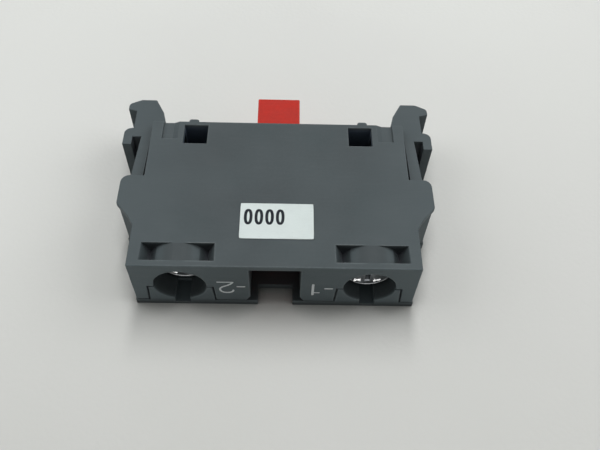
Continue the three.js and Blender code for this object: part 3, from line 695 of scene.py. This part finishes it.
def sheet_label(x0, x1, y0, y1, z, thickness):
    """A stuck-down label whose corners are nipped and lift a little."""
    columns, rows = 40, 24
    nip, lift, ripple = 0.04, 0.03, 0.004
    bm = bmesh.new()
    layers = []
    for height in (0.0, thickness):
        grid = []
        for j in range(rows + 1):
            line = []
            for i in range(columns + 1):
                u, v = i / columns, j / rows
                corner = (2 * abs(u - 0.5)) ** 14 * (2 * abs(v - 0.5)) ** 10
                wave = ripple * math.sin(7 * u + 2) * math.sin(5 * v + 1)
                line.append(bm.verts.new(at(
                    x0 + (x1 - x0) * u + nip * corner * (1 if u < 0.5 else -1),
                    y0 + (y1 - y0) * v + nip * corner * (1 if v < 0.5 else -1),
                    z + height + wave + lift * corner)))
            grid.append(line)
        layers.append(grid)
    low, high = layers
    for j in range(rows):
        for i in range(columns):
            bm.faces.new((high[j][i], high[j][i + 1], high[j + 1][i + 1], high[j + 1][i]))
            bm.faces.new((low[j][i], low[j + 1][i], low[j + 1][i + 1], low[j][i + 1]))
    rim = (
        [(0, i) for i in range(columns)] + [(j, columns) for j in range(rows)]
        + [(rows, i) for i in range(columns, 0, -1)] + [(j, 0) for j in range(rows, 0, -1)]
    )
    for (ja, ia), (jb, ib) in zip(rim, rim[1:] + rim[:1]):
        bm.faces.new((low[ja][ia], low[jb][ib], high[jb][ib], high[ja][ia]))
    return facing_out(bm)


def outlines(points, width, closed):
    """The left and right edge of a stroke along a line of points."""
    count = len(points)
    left, right = [], []
    for i, point in enumerate(points):
        before = points[(i - 1) % count] if closed or i else None
        after = points[(i + 1) % count] if closed or i + 1 < count else None
        first = (point - before).normalized() if before is not None else None
        second = (after - point).normalized() if after is not None else None
        ahead = ((first or second) + (second or first)).normalized()
        across = Vector((-ahead.y, ahead.x))
        turn = ahead.dot(first or second)
        reach = min(width / 2 / max(turn, 0.5), width)
        left.append(point + across * reach)
        right.append(point - across * reach)
    return left, right


def round_cap(centre, edge, towards):
    """Points of the half circle that ends a stroke, from one of its edges to the other."""
    start = edge - centre
    other = towards.normalized() * start.length
    return [centre + start * math.cos(a) + other * math.sin(a)
            for a in (math.pi * k / 6 for k in range(1, 6))]


def ribbon(bm, line, width, place, closed=False):
    """Adds a flat stroke along a line of 2-D points, round at its ends, as a thin solid.
    place(u, v, height) puts a point of it on its surface."""
    points = [Vector(p) for p in line]
    left, right = outlines(points, width, closed)
    if closed:
        loops = ((left, 1), (right, 1), (right, 0), (left, 0))
    else:
        end_cap = round_cap(points[-1], left[-1], points[-1] - points[-2])
        start_cap = round_cap(points[0], right[0], points[0] - points[1])
        loop = left + end_cap + right[::-1] + start_cap
        loops = ((loop, 1), (loop, 0))
    rings = [[bm.verts.new(place(p.x, p.y, height)) for p in loop] for loop, height in loops]
    skin(bm, rings, around=closed)


def zero(left, foot, width, height):
    """Centre line of a narrow nought."""
    steps, power = 36, 0.85

    def bulge(value):
        return math.copysign(abs(value) ** power, value)
    return [
        (left + width / 2 * (1 + bulge(math.cos(a))), foot + height / 2 * (1 + bulge(math.sin(a))))
        for a in (2 * math.pi * k / steps for k in range(steps))
    ]


label_low, label_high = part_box("label")
LABEL_TOP = (label_high.z - label_low.z) / MM + ROOF
label = sheet_label(
    label_low.x / MM, label_high.x / MM, (label_low.y - TERMINAL_FACE) / MM,
    (label_high.y - TERMINAL_FACE) / MM, ROOF, LABEL_TOP - ROOF)
smooth(piece("paper_label", label, paper, "block", ["label"]), 50)

PRINT_SUNK = 0.01
DIGIT_THICKNESS, MARK_THICKNESS = 0.018, 0.025
DIGIT_LEFT, DIGIT_STEP, DIGIT_FOOT = -4.12, 1.43, 6.76
DIGIT_WIDTH, DIGIT_HEIGHT, DIGIT_STROKE = 0.76, 2.14, 0.4

# The terminal numbers: the width of each stroke, and its points in a unit square
TWO = (
    (0.26, [(0.0, 0.76), (0.03, 0.86), (0.13, 0.94), (0.28, 0.99), (0.46, 1.0), (0.64, 0.97),
            (0.78, 0.89), (0.86, 0.77), (0.87, 0.66), (0.82, 0.55), (0.71, 0.46), (0.52, 0.37),
            (0.32, 0.28), (0.15, 0.17), (0.02, 0.03)]),
    (0.2, [(0.0, 0.0), (1.0, 0.0)]),
)
ONE = ((0.34, [(1.0, 1.0), (1.0, 0.0)]), (0.19, [(0.0, 0.8), (0.95, 0.8)]))
NUMBERS = ((TWO, -5.6, 3.32, 2.06, 2.78), (ONE, 5.96, 3.05, 0.87, 2.65))
DASHES = ((-4.08, 4.95), (7.68, 4.7))
DASH_LENGTH, DASH_STROKE = 0.94, 0.24
STROKE_LIFT = 0.004              # by which a number's later stroke stands above the one before


def on_label(u, v, height):
    return at(u, v, LABEL_TOP - PRINT_SUNK + DIGIT_THICKNESS * height)


def upside_down(right, top, lift=0.0):
    """Places a stroke upside down on the terminal face."""
    def place(u, v, proud):
        return at(right - u, PRINT_SUNK - (MARK_THICKNESS + lift) * proud, top - v)
    return place


digits = bmesh.new()
for k in range(4):
    nought = zero(DIGIT_LEFT + DIGIT_STEP * k, DIGIT_FOOT, DIGIT_WIDTH, DIGIT_HEIGHT)
    ribbon(digits, nought, DIGIT_STROKE, on_label, closed=True)
piece("label_digits", facing_out(digits), dark_ink, "block")

marks = bmesh.new()
for number, right, foot, width, height in NUMBERS:
    for order, (stroke, line) in enumerate(number):
        ribbon(marks, [(u * width, v * height) for u, v in line], stroke,
               upside_down(right, foot + height, STROKE_LIFT * order))
for right, height in DASHES:
    ribbon(marks, [(0, 0), (DASH_LENGTH, 0)], DASH_STROKE, upside_down(right, height))
piece("terminal_marks", facing_out(marks), pale_ink, "block")


# CAD nodes that stay, with their finish

FINISH = {
    "contact_bridge": brass, "contact_strip": brass, "fixed_tip": silver, "bridge_tip": silver,
    "clamp_plate": zinc, "terminal_nut": zinc,
}
for name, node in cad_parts.items():
    for start, material in FINISH.items():
        if name.startswith(start):
            node.data.materials.clear()
            node.data.materials.append(material)


# Floor, light and camera

# the table's tone at front and back, greyer at the front: painted light
TABLE_FRONT, TABLE_BACK = (0.60, 0.605, 0.58), (0.73, 0.74, 0.715)
TABLE_CLOUD, TABLE_SHADOW = (0.67, 0.67, 0.655), (0.07, 0.07, 0.067)
FRONT_FILL, BACK_FILL = 0.08, 0.36
FILL_COLOUR = (0.97, 1.0, 1.0, 1)
BACKDROP = (0.70, 0.72, 0.70, 1)
LAMPS = (    # name, place, width and depth in metres, power in watts, colour
    ("key", (0.015, 0.24, 0.60), 0.10, 0.48, 1.95, (1.0, 1.0, 1.0)),
    ("right_wall", (0.55, 0.10, 0.45), 0.5, 0.5, 1.9, (1.0, 1.0, 1.0)),
    ("left_wall", (-0.55, 0.10, 0.45), 0.5, 0.5, 1.3, (1.0, 1.0, 1.0)),
    ("low_front", (0.0, -0.80, 0.14), 1.2, 0.2, 1.35, (1.0, 0.95, 0.91)),
)


def table_top():
    """A plain pale table top with painted light: a little greyer towards the front and paler at
    the left, as the light falls, and a painted shadow where the block stands on it."""
    r = Recipe("table_top")
    x, y, _ = r.split_place()
    tone = r.blend(r.spread(y, -40, 60), TABLE_FRONT, TABLE_BACK)
    cloud = r.noise(0.03, detail=3)
    tone = r.blend(r.product(cloud, 0.3), tone, TABLE_CLOUD)
    # painted light: paler towards the front left
    left = r.product(r.spread(x, -15, -45, 0.0, 0.7), r.spread(y, -35, -5))
    tone = r.blend(left, tone, TABLE_BACK)
    # painted shadow where the block shuts out the light
    tone = r.blend(r.spread(r.openness(5.0), 0.15, 0.88), TABLE_SHADOW, tone)
    grain = r.noise(1.4, detail=3)
    return r.finish(Base_Color=tone, Roughness=r.spread(cloud, 0, 1, 0.6, 0.7),
                    Normal=r.bump(grain, 0.01), Specular_IOR_Level=0.2)


ground = bmesh.new()
bmesh.ops.create_grid(ground, x_segments=8, y_segments=8, size=1.5)
floor_mesh = bpy.data.meshes.new("floor")
ground.to_mesh(floor_mesh)
ground.free()
floor_mesh.materials.append(table_top())
floor = bpy.data.objects.new("floor", floor_mesh)
bpy.context.scene.collection.objects.link(floor)

for name, place, width, depth, power, colour in LAMPS:
    data = bpy.data.lights.new(name, "AREA")
    data.color = colour
    data.shape = "RECTANGLE"
    data.size = width
    data.size_y = depth
    data.energy = power
    lamp = bpy.data.objects.new(name, data)
    lamp.location = place
    lamp.rotation_euler = (-Vector(place)).to_track_quat("-Z", "Y").to_euler()
    bpy.context.scene.collection.objects.link(lamp)


def studio_world():
    """Soft fill that grows from the front to the back, behind a plain backdrop that camera,
    glossy and transmitted rays see instead."""
    world = bpy.data.worlds.new("studio")
    world.use_nodes = True
    nodes, links = world.node_tree.nodes, world.node_tree.links
    nodes.clear()
    direction = nodes.new("ShaderNodeSeparateXYZ")
    links.new(nodes.new("ShaderNodeTexCoord").outputs["Generated"], direction.inputs[0])
    strength = nodes.new("ShaderNodeMapRange")
    for name, number in (("From Min", -1.0), ("From Max", 1.0),
                         ("To Min", FRONT_FILL), ("To Max", BACK_FILL)):
        strength.inputs[name].default_value = number
    links.new(direction.outputs["Y"], strength.inputs["Value"])
    fill = nodes.new("ShaderNodeBackground")
    fill.inputs["Color"].default_value = FILL_COLOUR
    links.new(strength.outputs["Result"], fill.inputs["Strength"])
    shown = nodes.new("ShaderNodeBackground")
    shown.inputs["Color"].default_value = BACKDROP
    ray = nodes.new("ShaderNodeLightPath").outputs
    seen = ray["Is Camera Ray"]
    for kind in ("Is Glossy Ray", "Is Transmission Ray"):
        either = nodes.new("ShaderNodeMath")
        either.operation = "MAXIMUM"
        links.new(seen, either.inputs[0])
        links.new(ray[kind], either.inputs[1])
        seen = either.outputs[0]
    choice = nodes.new("ShaderNodeMixShader")
    links.new(seen, choice.inputs[0])
    links.new(fill.outputs[0], choice.inputs[1])
    links.new(shown.outputs[0], choice.inputs[2])
    output = nodes.new("ShaderNodeOutputWorld")
    links.new(choice.outputs[0], output.inputs["Surface"])
    return world


bpy.context.scene.world = studio_world()

CAMERA_PLACE = (0.00113609, -0.05958292, 0.08340494)
CAMERA_TURN = Matrix((
    (0.999603685, -0.0159421973, -0.0232017278),
    (-0.0000401681, 0.823382412, -0.567486917),
    (0.028150883, 0.567262946, 0.823055453)))
SENSOR_WIDTH, FOCAL_LENGTH = 36, 40.1207

lens = bpy.data.cameras.new("view")
lens.sensor_width = SENSOR_WIDTH
lens.lens = FOCAL_LENGTH
lens.clip_start = 0.005
lens.clip_end = 10
camera = bpy.data.objects.new("view", lens)
bpy.context.scene.collection.objects.link(camera)
camera.matrix_world = Matrix.Translation(CAMERA_PLACE) @ CAMERA_TURN.to_4x4()
bpy.context.scene.camera = camera
bpy.context.scene.view_settings.view_transform = "Standard"
